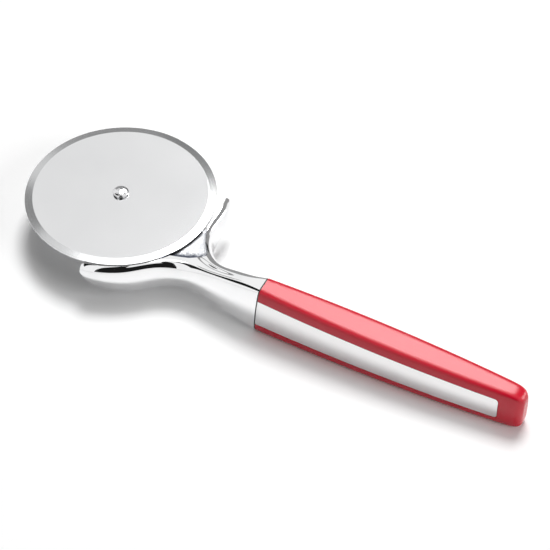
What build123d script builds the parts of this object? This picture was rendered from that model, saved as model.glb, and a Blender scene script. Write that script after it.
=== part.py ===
"""Pizza cutter with a steel wheel, a chrome-plated head and a red grip with steel side plates.

Millimetres. The tool lies on its side as on a table: Z is up along the wheel's axle, X runs along the
grip from the wheel to the butt, and Y points to the side away from the thumb. The origin is on the
wheel's axis, on the table.
"""
from build123d import *
from math import atan2, cos, degrees, radians, sin, sqrt
import os

# Wheel
wheel_diameter = 80.0
wheel_thickness = 1.5
wheel_bevel_width = 3.2
wheel_edge_thickness = 0.5
wheel_top_height = 20.0

# Axle, bush and washers
rivet_shank_diameter = 3.0
rivet_dome_diameter = 6.6
rivet_dome_height = 1.7
rivet_tail_diameter = 5.0
rivet_tail_height = 1.0
spacer_wall = 0.65
bushing_wall = 0.85
bushing_flange_width = 1.6
bushing_flange_thickness = 0.5
upper_washer_thickness = 0.3
lower_washer_thickness = 0.6
burr_diameter = 8.0
burr_thickness = 0.8
running_clearance = 0.05
fitted_clearance = 0.03
washer_play = 0.12

# Guard wings round the back of the wheel, and their rounded tips
guard_gap = 1.4
guard_thickness = 2.8
guard_rise = 0.4
guard_underside = 5.5
guard_edge_round = 1.2
near_tip_angle = -83.0
near_root_angle = -46.0
far_root_angle = 1.0
far_tip_angle = 25.0
far_wing_flare = 1.5
far_flare_angle = 12.0
far_shoulder_reach = 57.5
far_shoulder_angle = -16.0
guard_cover = 0.3
waist_share = 0.45
wing_tip_lift = 3.9
wing_tip_round = 2.6
wing_chin_round = 4.2

# Pocket between the neck and the wheel
pocket_depth = 10.7
pocket_angle = -18.6
pocket_near_angle = -34.0
pocket_far_angle = -2.0
pocket_corner_radius = 2.0

# Arm under the wheel, its boss and the cap in the foot of the boss
arm_thickness = 7.0
arm_drop = 1.0
boss_diameter = 15.0
boss_wall = 2.4
boss_edge_round = 0.6
cap_thickness = 1.6
cap_rim_height = 2.4
cap_rim_wall = 1.0

# Neck, which narrows and turns a little towards the wheel
neck_length = 30.0
neck_narrowing = 1.0
neck_shift = 1.1
neck_station_count = 6

# Grip: its axis runs beside the wheel's centre
grip_offset = 22.3
grip_joint = 76.9
grip_length = 114.6
joint_lean = 5.0
grip_front_height = 24.8
grip_butt_height = 18.3
grip_front_half_width = 4.97
grip_belly_half_width = 6.45
grip_butt_half_width = 4.05
grip_bulge = 0.76
grip_corner_radius = 3.0
butt_top_radius = 5.0
butt_side_radius = 3.5
grip_relief = 0.15
grip_wall = 2.2
grip_station_count = 5

# Steel side plates
plate_thickness = 0.8
tape_thickness = 0.2
plate_height_share = 0.57
plate_length_share = 0.915
plate_corner_radius = 1.6
plate_clearance = 0.08

# Joint seal
seal_thickness = 0.5
seal_inset = 0.35

# Tang
tang_thickness = 4.0
tang_height = 12.0
tang_length = 84.0
tang_middle_height = 11.0
tang_corner_radius = 1.5
tang_clearance = 0.1

# Screws through the grip
screw_diameter = 3.0
screw_head_diameter = 5.4
screw_head_height = 1.6
screw_head_recess = 2.6
screw_boss_diameter = 7.0
screw_recess_width = 0.8
screw_recess_depth = 0.8
screw_recess_span_share = 0.6
screw_end_cover = 2.0
screw_end_gap = 0.5
screw_position_shares = (0.14, 0.38, 0.62)

# One length by which every cutting solid passes the surface that it cuts
overrun = 2.0

# Sizes that follow
wheel_radius = wheel_diameter / 2
wheel_underside = wheel_top_height - wheel_thickness
shank_radius = rivet_shank_diameter / 2
spacer_bore_radius = shank_radius + fitted_clearance
spacer_radius = spacer_bore_radius + spacer_wall
bushing_bore_radius = spacer_radius + running_clearance
bushing_radius = bushing_bore_radius + bushing_wall
bushing_flange_radius = bushing_radius + bushing_flange_width
bushing_underside = wheel_underside - bushing_flange_thickness
boss_top = bushing_underside - washer_play - lower_washer_thickness
spacer_top = wheel_top_height + washer_play
dome_base = spacer_top + upper_washer_thickness
arm_top = boss_top - arm_drop
arm_underside = arm_top - arm_thickness
burr_underside = arm_underside - burr_thickness
tail_underside = burr_underside - rivet_tail_height
boss_radius = boss_diameter / 2
boss_bore_radius = boss_radius - boss_wall
guard_inner_radius = wheel_radius + guard_gap
guard_outer_radius = guard_inner_radius + guard_thickness
guard_top = wheel_top_height + guard_rise
head_angle = (near_tip_angle + far_tip_angle) / 2
grip_y = -grip_offset
grip_butt = grip_joint + grip_length
grip_mid_height = grip_front_height / 2
neck_start = grip_joint - neck_length
plate_end = grip_joint + grip_length * plate_length_share
neck_end_half_width = grip_front_half_width - neck_narrowing

os.makedirs("parts", exist_ok=True)


def polar(radius, angle):
    """Point at a radius and an angle in degrees about the wheel's axis."""
    return (radius * cos(radians(angle)), radius * sin(radians(angle)))


def axis_distance(edge):
    """Distance of an edge's middle from the wheel's axis."""
    middle = edge @ 0.5
    return sqrt(middle.X**2 + middle.Y**2)


def smooth_step(share):
    """Ease from 0 to 1 with level ends."""
    held = min(max(share, 0), 1)
    return held * held * (3 - 2 * held)


def grip_half_width(x):
    """Half width of the grip's top face, fullest at the belly."""
    share = (x - grip_joint) / grip_length
    front = grip_front_half_width * (1 - share) * (1 - 2 * share)
    belly = grip_belly_half_width * 4 * share * (1 - share)
    butt = grip_butt_half_width * share * (2 * share - 1)
    return front + belly + butt


def grip_height(x):
    """Height of the grip, which falls evenly from the joint to the butt."""
    share = (x - grip_joint) / grip_length
    return grip_front_height + (grip_butt_height - grip_front_height) * share


def barrel_face(x, middle_y, half_width, bottom, top, bulge, corner):
    """Section across X with flat top and bottom, bowed sides and round corners."""
    near = middle_y - half_width
    far = middle_y + half_width
    middle = (bottom + top) / 2
    with BuildSketch(Plane.YZ.offset(x)) as section:
        with BuildLine():
            Line((near, bottom), (far, bottom))
            ThreePointArc((far, bottom), (far + bulge, middle), (far, top))
            Line((far, top), (near, top))
            ThreePointArc((near, top), (near - bulge, middle), (near, bottom))
        make_face()
        fillet(section.vertices(), radius=min(corner, half_width / 2))
    return section.sketch


def grip_solid(inset, start, end):
    """The grip's form between two stations, drawn in by an inset, with a flat foot and a rounded butt."""
    faces = []
    for step in range(grip_station_count):
        x = start + (end + overrun - start) * step / (grip_station_count - 1)
        faces.append(
            barrel_face(
                x,
                grip_y,
                grip_half_width(x) - inset,
                inset - grip_relief,
                grip_height(x) - inset,
                grip_bulge,
                grip_corner_radius - inset / 2,
            )
        )
    margin = grip_relief - inset
    bend = end - 2 * butt_side_radius
    bend_half = grip_half_width(bend) + grip_bulge + margin
    end_half = grip_half_width(end) + grip_bulge + margin
    with BuildPart() as body:
        loft(sections=faces)
        with BuildSketch(Plane.XZ) as elevation:
            with BuildLine():
                Polyline(
                    (start - overrun, inset),
                    (end, inset),
                    (end, grip_height(end) + margin),
                    (start - overrun, grip_height(start - overrun) + margin),
                    close=True,
                )
            make_face()
            fillet(elevation.vertices().group_by(Axis.X)[-1], radius=butt_top_radius - inset)
        extrude(amount=2 * grip_offset, mode=Mode.INTERSECT)
        with BuildSketch(Plane.XY.offset(-overrun)) as plan:
            with BuildLine():
                Polyline(
                    (start - overrun, grip_y - grip_offset),
                    (bend, grip_y - bend_half),
                    (end, grip_y - end_half),
                    (end, grip_y + end_half),
                    (bend, grip_y + bend_half),
                    (start - overrun, grip_y + grip_offset),
                    close=True,
                )
            make_face()
            fillet(plan.vertices().group_by(Axis.X)[-1], radius=butt_side_radius - inset)
        extrude(amount=grip_front_height + 2 * overrun, mode=Mode.INTERSECT)
    return body.part


def joint_plane(shift):
    """Leaning plane of the joint between neck and grip, shifted along the grip."""
    return Plane(
        origin=(grip_joint + shift, grip_y, grip_mid_height),
        z_dir=(cos(radians(joint_lean)), 0, -sin(radians(joint_lean))),
    )


def plate_window(clearance):
    """Prism across the grip that bounds a side plate, open towards the joint."""
    front = grip_joint - grip_front_height
    front_half = plate_height_share * grip_height(front) / 2 + clearance
    end_half = plate_height_share * grip_height(plate_end) / 2 + clearance
    front_middle = grip_height(front) / 2
    end_middle = grip_height(plate_end) / 2
    with BuildPart() as window:
        with BuildSketch(Plane.XZ.offset(grip_offset)) as outline:
            with BuildLine():
                Polyline(
                    (front, front_middle - front_half),
                    (plate_end + clearance, end_middle - end_half),
                    (plate_end + clearance, end_middle + end_half),
                    (front, front_middle + front_half),
                    close=True,
                )
            make_face()
            fillet(outline.vertices().group_by(Axis.X)[-1], radius=plate_corner_radius + clearance)
        extrude(amount=grip_offset, both=True)
    return window.part


def plate_seat(x):
    """Distance from the parting plane to the floor of a plate's recess, at mid height."""
    return grip_half_width(x) + grip_bulge - plate_thickness - tape_thickness


def side_layer(outer_form, inner_form):
    """The layers of both grip sides between two insets, cut to the plate's outline."""
    with BuildPart() as layer:
        add(outer_form)
        add(inner_form, mode=Mode.SUBTRACT)
        add(plate_window(0), mode=Mode.INTERSECT)
        split(bisect_by=joint_plane(seal_thickness), keep=Keep.TOP)
    return layer.part


# The cutting wheel, ground on both faces towards a blunt edge
with BuildPart() as cutting_wheel:
    with BuildSketch(Plane.XZ):
        with BuildLine():
            Polyline(
                (bushing_radius + fitted_clearance, wheel_underside),
                (wheel_radius - wheel_bevel_width, wheel_underside),
                (wheel_radius, wheel_underside + (wheel_thickness - wheel_edge_thickness) / 2),
                (wheel_radius, wheel_top_height - (wheel_thickness - wheel_edge_thickness) / 2),
                (wheel_radius - wheel_bevel_width, wheel_top_height),
                (bushing_radius + fitted_clearance, wheel_top_height),
                close=True,
            )
        make_face()
    revolve(axis=Axis.Z)

# The bush pressed into the wheel, with its flange underneath
with BuildPart() as wheel_bushing:
    with BuildSketch(Plane.XY.offset(bushing_underside)):
        Circle(bushing_flange_radius)
        Circle(bushing_bore_radius, mode=Mode.SUBTRACT)
    extrude(amount=bushing_flange_thickness)
    with BuildSketch(Plane.XY.offset(wheel_underside)):
        Circle(bushing_radius)
        Circle(bushing_bore_radius, mode=Mode.SUBTRACT)
    extrude(amount=wheel_thickness)

# The sleeve that sets the running gap of the wheel
with BuildPart() as axle_spacer:
    with BuildSketch(Plane.XY.offset(boss_top)):
        Circle(spacer_radius)
        Circle(spacer_bore_radius, mode=Mode.SUBTRACT)
    extrude(amount=spacer_top - boss_top)

# The washer under the rivet's dome
with BuildPart() as upper_washer:
    with BuildSketch(Plane.XY.offset(spacer_top)):
        Circle(rivet_dome_diameter / 2)
        Circle(spacer_bore_radius, mode=Mode.SUBTRACT)
    extrude(amount=upper_washer_thickness)

# The washer between the bush and the arm's boss
with BuildPart() as lower_washer:
    with BuildSketch(Plane.XY.offset(boss_top)):
        Circle(bushing_flange_radius)
        Circle(spacer_radius + fitted_clearance, mode=Mode.SUBTRACT)
    extrude(amount=lower_washer_thickness)

# The rivet: a low dome, the shank and the peened tail
dome_half = rivet_dome_diameter / 2
dome_sphere_radius = (dome_half**2 + rivet_dome_height**2) / (2 * rivet_dome_height)
dome_centre_height = dome_base + rivet_dome_height - dome_sphere_radius
dome_half_angle = degrees(atan2(dome_half, dome_base - dome_centre_height))
dome_middle = (
    dome_sphere_radius * sin(radians(dome_half_angle / 2)),
    dome_centre_height + dome_sphere_radius * cos(radians(dome_half_angle / 2)),
)
with BuildPart() as axle_rivet:
    with BuildSketch(Plane.XZ):
        with BuildLine():
            Polyline(
                (0, dome_base + rivet_dome_height),
                (0, tail_underside),
                (rivet_tail_diameter / 2, tail_underside),
                (rivet_tail_diameter / 2, burr_underside),
                (shank_radius, burr_underside),
                (shank_radius, dome_base),
                (dome_half, dome_base),
            )
            ThreePointArc((dome_half, dome_base), dome_middle, (0, dome_base + rivet_dome_height))
        make_face()
    revolve(axis=Axis.Z)
    tail_edge = axle_rivet.edges().group_by(Axis.Z)[0]
    fillet(tail_edge, radius=rivet_tail_height / 2)

# The burr on which the tail is peened
with BuildPart() as axle_burr:
    with BuildSketch(Plane.XY.offset(burr_underside)):
        Circle(burr_diameter / 2)
        Circle(spacer_bore_radius, mode=Mode.SUBTRACT)
    extrude(amount=burr_thickness)

# The cap that closes the boss from below and stands on the table
with BuildPart() as axle_cap:
    with BuildSketch(Plane.XY):
        Circle(boss_bore_radius - fitted_clearance)
    extrude(amount=cap_thickness)
    with BuildSketch(Plane.XY.offset(cap_thickness)):
        Circle(boss_bore_radius - fitted_clearance)
        Circle(boss_bore_radius - fitted_clearance - cap_rim_wall, mode=Mode.SUBTRACT)
    extrude(amount=cap_rim_height)

# Plan outline of the guard: two wings that leave the neck and follow the wheel's rim
waist_half_width = neck_end_half_width - guard_edge_round
waist_y = grip_y + neck_shift
waist_x = neck_start + neck_length * waist_share
near_root = polar(guard_outer_radius, near_root_angle)
near_middle = polar(guard_outer_radius, (near_root_angle + near_tip_angle) / 2)
near_tip = polar(guard_outer_radius, near_tip_angle)
near_tip_inner = polar(guard_inner_radius, near_tip_angle)
near_tip_middle = polar(guard_inner_radius + guard_thickness / 2, near_tip_angle)
far_root = polar(guard_outer_radius, far_root_angle)
far_root_inner = polar(guard_inner_radius, far_root_angle)
far_tip = polar(guard_outer_radius + far_wing_flare, far_tip_angle)
far_tip_inner = polar(guard_inner_radius + far_wing_flare, far_tip_angle)
far_tip_middle = polar(guard_inner_radius + guard_thickness / 2 + far_wing_flare, far_tip_angle)
far_heading = far_tip_angle + 90 - far_flare_angle
inner_middle = polar(guard_inner_radius, (near_tip_angle + far_root_angle) / 2)
near_bend = (neck_start - guard_thickness, waist_y - neck_end_half_width - grip_bulge - guard_cover)
far_bend = polar(guard_outer_radius + guard_thickness, pocket_angle / 2)
far_shoulder = polar(far_shoulder_reach, far_shoulder_angle)

with BuildSketch() as guard_outline:
    with BuildLine():
        Spline(
            (waist_x, waist_y - waist_half_width),
            near_bend,
            near_root,
            tangents=((-1, 0), polar(1, near_root_angle - 90)),
        )
        ThreePointArc(near_root, near_middle, near_tip)
        Line(near_tip, near_tip_inner)
        ThreePointArc(near_tip_inner, inner_middle, far_root_inner)
        Spline(
            far_root_inner,
            far_tip_inner,
            tangents=(polar(1, far_root_angle + 90), polar(1, far_heading)),
        )
        Line(far_tip_inner, far_tip)
        Spline(
            far_tip,
            far_root,
            far_bend,
            far_shoulder,
            (waist_x, waist_y + waist_half_width),
            tangents=(polar(-1, far_heading), (1, 0)),
        )
        Line((waist_x, waist_y + waist_half_width), (waist_x, waist_y - waist_half_width))
    make_face()

# Wedges under the wings, drawn along the head's own axis, that thin them towards their tips
head_plane = Plane(
    origin=(0, 0, 0),
    x_dir=(cos(radians(head_angle)), sin(radians(head_angle)), 0),
    z_dir=(sin(radians(head_angle)), -cos(radians(head_angle)), 0),
)
wing_reach = guard_outer_radius * cos(radians((far_tip_angle - near_tip_angle) / 2))
with BuildPart() as wing_taper:
    with BuildSketch(head_plane):
        with BuildLine():
            Polyline(
                (guard_outer_radius, guard_underside),
                (wing_reach, guard_underside + wing_tip_lift),
                (wing_reach - guard_outer_radius / 2, guard_underside + 2 * wing_tip_lift),
                (wing_reach - guard_outer_radius / 2, 0),
                (guard_outer_radius, 0),
                close=True,
            )
        make_face()
    extrude(amount=guard_outer_radius + guard_gap, both=True)

with BuildPart() as guard_solid:
    add(guard_outline.sketch.moved(Location((0, 0, guard_underside))))
    extrude(amount=guard_top - guard_underside)
    add(wing_taper.part, mode=Mode.SUBTRACT)
    for tip in (near_tip_middle, far_tip_middle):
        tip_face = guard_solid.faces().sort_by_distance((*tip, guard_top - guard_thickness))[0]
        fillet(tip_face.edges().sort_by(Axis.Z)[-1], radius=wing_tip_round)
        tip_face = guard_solid.faces().sort_by_distance((*tip, guard_top - guard_thickness))[0]
        fillet(tip_face.edges().sort_by(Axis.Z)[0], radius=wing_chin_round)
    top_edges = guard_solid.faces().sort_by(Axis.Z)[-1].edges()
    outer_edges = top_edges.filter_by(
        lambda edge: guard_outer_radius - guard_edge_round < axis_distance(edge) < waist_x
    )
    fillet(outer_edges, radius=guard_edge_round)

# The head: guard, neck, arm and tang as one casting
neck_faces = []
for neck_step in range(neck_station_count):
    neck_x = neck_start + (neck_length + overrun) * neck_step / (neck_station_count - 1)
    run = min(max((grip_joint - neck_x) / neck_length, 0), 1)
    ease = smooth_step(run)
    neck_faces.append(
        barrel_face(
            neck_x,
            grip_y + neck_shift * run,
            grip_front_half_width - neck_narrowing * run,
            guard_underside * ease,
            grip_front_height + (guard_top - grip_front_height) * ease,
            grip_bulge,
            grip_corner_radius + (guard_edge_round - grip_corner_radius) * ease,
        )
    )

with BuildPart() as head_casting:
    loft(sections=neck_faces)
    split(bisect_by=joint_plane(0), keep=Keep.BOTTOM)
    add(guard_solid.part)
    with BuildSketch(Plane.XY.offset(arm_underside)):
        with BuildLine():
            Polyline(
                polar(boss_radius, pocket_angle - 90),
                polar(guard_inner_radius + guard_gap, pocket_near_angle),
                polar(guard_inner_radius + guard_gap, pocket_far_angle),
                polar(boss_radius, pocket_angle + 90),
                close=True,
            )
        make_face()
    extrude(amount=arm_thickness)
    with BuildSketch(Plane.XY):
        Circle(boss_radius)
    extrude(amount=boss_top)
    fillet(head_casting.edges().filter_by(GeomType.CIRCLE).sort_by(Axis.Z)[0], radius=boss_edge_round)
    with BuildSketch(Plane.XY.offset(arm_top)) as pocket:
        with BuildLine():
            Polyline(
                polar(guard_inner_radius - guard_gap, pocket_near_angle),
                polar(guard_inner_radius, pocket_near_angle),
                polar(guard_inner_radius + pocket_depth, pocket_angle),
                polar(guard_inner_radius, pocket_far_angle),
                polar(guard_inner_radius - guard_gap, pocket_far_angle),
                close=True,
            )
        make_face()
        fillet(pocket.vertices().sort_by(Axis.X)[-1], radius=pocket_corner_radius)
    extrude(amount=grip_front_height - arm_top, mode=Mode.SUBTRACT)
    with BuildSketch(Plane.XY):
        Circle(boss_bore_radius)
    extrude(amount=arm_underside, mode=Mode.SUBTRACT)
    with BuildSketch(Plane.XY.offset(arm_underside)):
        Circle(spacer_bore_radius)
    extrude(amount=arm_thickness + arm_drop, mode=Mode.SUBTRACT)
    with BuildSketch(Plane.YZ.offset(grip_joint - overrun)):
        with Locations((grip_y, tang_middle_height)):
            RectangleRounded(tang_thickness, tang_height, tang_corner_radius)
    extrude(amount=tang_length + overrun)
    for screw_share in screw_position_shares:
        with BuildSketch(Plane.XZ.offset(grip_offset)):
            with Locations((grip_joint + grip_length * screw_share, tang_middle_height)):
                Circle(screw_diameter / 2 + tang_clearance)
        extrude(amount=tang_thickness, both=True, mode=Mode.SUBTRACT)

# The grip's outer form and the forms drawn in from it
grip_form = grip_solid(0, grip_joint - overrun, grip_butt)
grip_hollow = grip_solid(grip_wall, grip_joint - overrun, grip_butt - grip_wall)
tape_seat_form = grip_solid(plate_thickness, grip_joint - overrun, grip_butt)
plate_seat_form = grip_solid(plate_thickness + tape_thickness, grip_joint - overrun, grip_butt)
parting_plane = Plane.XZ.offset(grip_offset)
screw_spots = [
    (grip_joint + grip_length * share, tang_middle_height) for share in screw_position_shares
]

# The slot that the tang fills, and the plates' recesses, as cutting solids
with BuildPart() as tang_slot:
    with BuildSketch(Plane.YZ.offset(grip_joint - 2 * overrun)):
        with Locations((grip_y, tang_middle_height)):
            Rectangle(tang_thickness + 2 * tang_clearance, tang_height + 2 * tang_clearance)
    extrude(amount=tang_length + 2 * overrun + tang_clearance)

with BuildPart() as plate_recess:
    add(grip_form)
    add(plate_seat_form, mode=Mode.SUBTRACT)
    add(plate_window(plate_clearance), mode=Mode.INTERSECT)

with BuildPart() as screw_bosses:
    with BuildSketch(parting_plane):
        with Locations(*screw_spots):
            Circle(screw_boss_diameter / 2)
    extrude(amount=grip_offset / 2, both=True)
    add(plate_seat_form, mode=Mode.INTERSECT)

# Both shells before they are parted: hollow, with bosses that meet at the tang
with BuildPart() as shell_blank:
    add(grip_form)
    add(grip_hollow, mode=Mode.SUBTRACT)
    add(screw_bosses.part)
    add(plate_recess.part, mode=Mode.SUBTRACT)
    add(tang_slot.part, mode=Mode.SUBTRACT)
    split(bisect_by=joint_plane(seal_thickness), keep=Keep.TOP)

# The near shell, with clear holes and pockets for the screw heads
with BuildPart() as grip_shell_near:
    add(shell_blank.part)
    split(bisect_by=parting_plane, keep=Keep.TOP)
    for screw_x, screw_z in screw_spots:
        with BuildSketch(parting_plane):
            with Locations((screw_x, screw_z)):
                Circle(screw_diameter / 2 + fitted_clearance)
        extrude(amount=grip_offset / 2, mode=Mode.SUBTRACT)
        with BuildSketch(Plane.XZ.offset(grip_offset + plate_seat(screw_x) - screw_head_recess)):
            with Locations((screw_x, screw_z)):
                Circle(screw_head_diameter / 2 + fitted_clearance)
        extrude(amount=grip_offset / 2, mode=Mode.SUBTRACT)

# The far shell, with blind holes for the screws
with BuildPart() as grip_shell_far:
    add(shell_blank.part)
    split(bisect_by=parting_plane, keep=Keep.BOTTOM)
    for screw_x, screw_z in screw_spots:
        with BuildSketch(parting_plane):
            with Locations((screw_x, screw_z)):
                Circle(screw_diameter / 2 + fitted_clearance)
        extrude(amount=screw_end_cover - plate_seat(screw_x), mode=Mode.SUBTRACT)

# The steel side plates and the bonding film under each
with BuildPart() as insert_near:
    add(side_layer(grip_form, tape_seat_form))
    split(bisect_by=parting_plane, keep=Keep.TOP)

with BuildPart() as insert_far:
    add(side_layer(grip_form, tape_seat_form))
    split(bisect_by=parting_plane, keep=Keep.BOTTOM)

with BuildPart() as insert_near_tape:
    add(side_layer(tape_seat_form, plate_seat_form))
    split(bisect_by=parting_plane, keep=Keep.TOP)

with BuildPart() as insert_far_tape:
    add(side_layer(tape_seat_form, plate_seat_form))
    split(bisect_by=parting_plane, keep=Keep.BOTTOM)

# The seal between neck and grip, with a window for the tang
with BuildPart() as joint_seal:
    add(grip_solid(seal_inset, grip_joint - 2 * overrun, grip_butt))
    split(bisect_by=joint_plane(0), keep=Keep.TOP)
    split(bisect_by=joint_plane(seal_thickness), keep=Keep.BOTTOM)
    add(tang_slot.part, mode=Mode.SUBTRACT)

# The three screws that close the grip, as one group of separate solids
with BuildPart() as grip_screws:
    for screw_x, screw_z in screw_spots:
        head_base = plate_seat(screw_x) - screw_head_recess
        screw_reach = plate_seat(screw_x) - screw_end_cover - screw_end_gap
        with BuildSketch(Plane.XZ.offset(grip_offset - screw_reach)):
            with Locations((screw_x, screw_z)):
                Circle(screw_diameter / 2)
        extrude(amount=screw_reach + head_base)
        with BuildSketch(Plane.XZ.offset(grip_offset + head_base)):
            with Locations((screw_x, screw_z)):
                Circle(screw_head_diameter / 2)
        extrude(amount=screw_head_height)
        with BuildSketch(Plane.XZ.offset(grip_offset + head_base + screw_head_height)):
            with Locations((screw_x, screw_z)):
                Rectangle(screw_head_diameter * screw_recess_span_share, screw_recess_width)
                Rectangle(screw_recess_width, screw_head_diameter * screw_recess_span_share)
        extrude(amount=-screw_recess_depth, mode=Mode.SUBTRACT)

# Each piece is labelled and written under its own name
cutting_wheel.part.label = "cutting_wheel"
export_step(cutting_wheel.part, "parts/cutting_wheel.step")

wheel_bushing.part.label = "wheel_bushing"
export_step(wheel_bushing.part, "parts/wheel_bushing.step")

axle_rivet.part.label = "axle_rivet"
export_step(axle_rivet.part, "parts/axle_rivet.step")

axle_spacer.part.label = "axle_spacer"
export_step(axle_spacer.part, "parts/axle_spacer.step")

upper_washer.part.label = "upper_washer"
export_step(upper_washer.part, "parts/upper_washer.step")

lower_washer.part.label = "lower_washer"
export_step(lower_washer.part, "parts/lower_washer.step")

axle_burr.part.label = "axle_burr"
export_step(axle_burr.part, "parts/axle_burr.step")

axle_cap.part.label = "axle_cap"
export_step(axle_cap.part, "parts/axle_cap.step")

head_casting.part.label = "head_casting"
export_step(head_casting.part, "parts/head_casting.step")

joint_seal.part.label = "joint_seal"
export_step(joint_seal.part, "parts/joint_seal.step")

grip_shell_near.part.label = "grip_shell_near"
export_step(grip_shell_near.part, "parts/grip_shell_near.step")

grip_shell_far.part.label = "grip_shell_far"
export_step(grip_shell_far.part, "parts/grip_shell_far.step")

insert_near.part.label = "insert_near"
export_step(insert_near.part, "parts/insert_near.step")

insert_far.part.label = "insert_far"
export_step(insert_far.part, "parts/insert_far.step")

insert_near_tape.part.label = "insert_near_tape"
export_step(insert_near_tape.part, "parts/insert_near_tape.step")

insert_far_tape.part.label = "insert_far_tape"
export_step(insert_far_tape.part, "parts/insert_far_tape.step")

grip_screws.part.label = "grip_screws"
export_step(grip_screws.part, "parts/grip_screws.step")
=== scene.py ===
"""Looks of a pizza cutter wheel: steel blade, chrome-plated head, red grip with steel side plates."""

import logging
import math
from collections.abc import Callable, Sequence
from dataclasses import dataclass
from enum import Enum
from typing import Any

import bmesh
import bpy
from mathutils import Matrix, Vector
from mathutils.bvhtree import BVHTree

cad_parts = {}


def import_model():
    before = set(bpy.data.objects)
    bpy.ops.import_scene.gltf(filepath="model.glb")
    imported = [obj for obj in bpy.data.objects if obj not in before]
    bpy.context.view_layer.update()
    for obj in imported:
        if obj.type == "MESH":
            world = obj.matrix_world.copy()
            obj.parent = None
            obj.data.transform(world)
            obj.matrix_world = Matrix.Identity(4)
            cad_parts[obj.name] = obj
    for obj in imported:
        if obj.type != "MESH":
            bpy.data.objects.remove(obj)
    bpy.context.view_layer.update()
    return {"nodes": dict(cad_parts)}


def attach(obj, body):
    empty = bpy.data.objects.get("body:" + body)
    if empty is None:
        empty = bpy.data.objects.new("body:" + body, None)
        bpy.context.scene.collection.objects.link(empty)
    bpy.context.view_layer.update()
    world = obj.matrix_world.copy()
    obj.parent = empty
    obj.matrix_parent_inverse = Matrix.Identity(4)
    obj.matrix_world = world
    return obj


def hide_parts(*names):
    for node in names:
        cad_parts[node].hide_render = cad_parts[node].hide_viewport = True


LOG = logging.getLogger("pizza_cutter")

# The pieces are built in millimetres and scaled when they are finished; angles are in degrees
MM = 0.001
WELD = 1e-4
SMOOTH_ANGLE = 32.0
CORNER_STEPS = 10
UPRIGHT = (0.0, 0.0, 1.0)
ORIGIN = (0.0, 0.0, 0.0)
WHITE = (1.0, 1.0, 1.0, 1.0)

# The joint between the neck and the grip, and the plane in which the shells part
JOINT_X = 76.9
JOINT_MIDDLE = 12.4
JOINT_ANGLE = 5.0
JOINT_LEAN = math.tan(math.radians(JOINT_ANGLE))
GRIP_Y = -22.3

Object = bpy.types.Object
Material = bpy.types.Material
Shape = bmesh.types.BMesh
Colour = tuple[float, float, float, float]
Place = tuple[float, float, float]
Point = tuple[float, float]
Row = tuple[float, float, float, float]


# Shader helpers


def math_operator(operation: str, reflected: bool = False) -> Callable[["Value", Any], "Value"]:
    """Makes one arithmetic operator for shader values.

    Args:
        operation: What the Math node does.
        reflected: Whether the value stands on the right.

    Returns:
        The operator.
    """

    def apply(value: "Value", other: Any) -> "Value":
        """Adds one Math node and returns its result."""
        first, second = (other, value) if reflected else (value, other)
        return value.shader.node("ShaderNodeMath", {"operation": operation}, {0: first, 1: second})

    return apply


class Value:
    """One shader output, so that shader maths reads as plain expressions."""

    __add__, __radd__ = math_operator("ADD"), math_operator("ADD", reflected=True)
    __sub__, __rsub__ = math_operator("SUBTRACT"), math_operator("SUBTRACT", reflected=True)
    __mul__, __rmul__ = math_operator("MULTIPLY"), math_operator("MULTIPLY", reflected=True)
    __truediv__, __rtruediv__ = math_operator("DIVIDE"), math_operator("DIVIDE", reflected=True)

    def __init__(self, shader: "Shader", socket: bpy.types.NodeSocket | None) -> None:
        """Keeps the shader and the output socket."""
        self.shader = shader
        self.socket = socket


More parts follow.
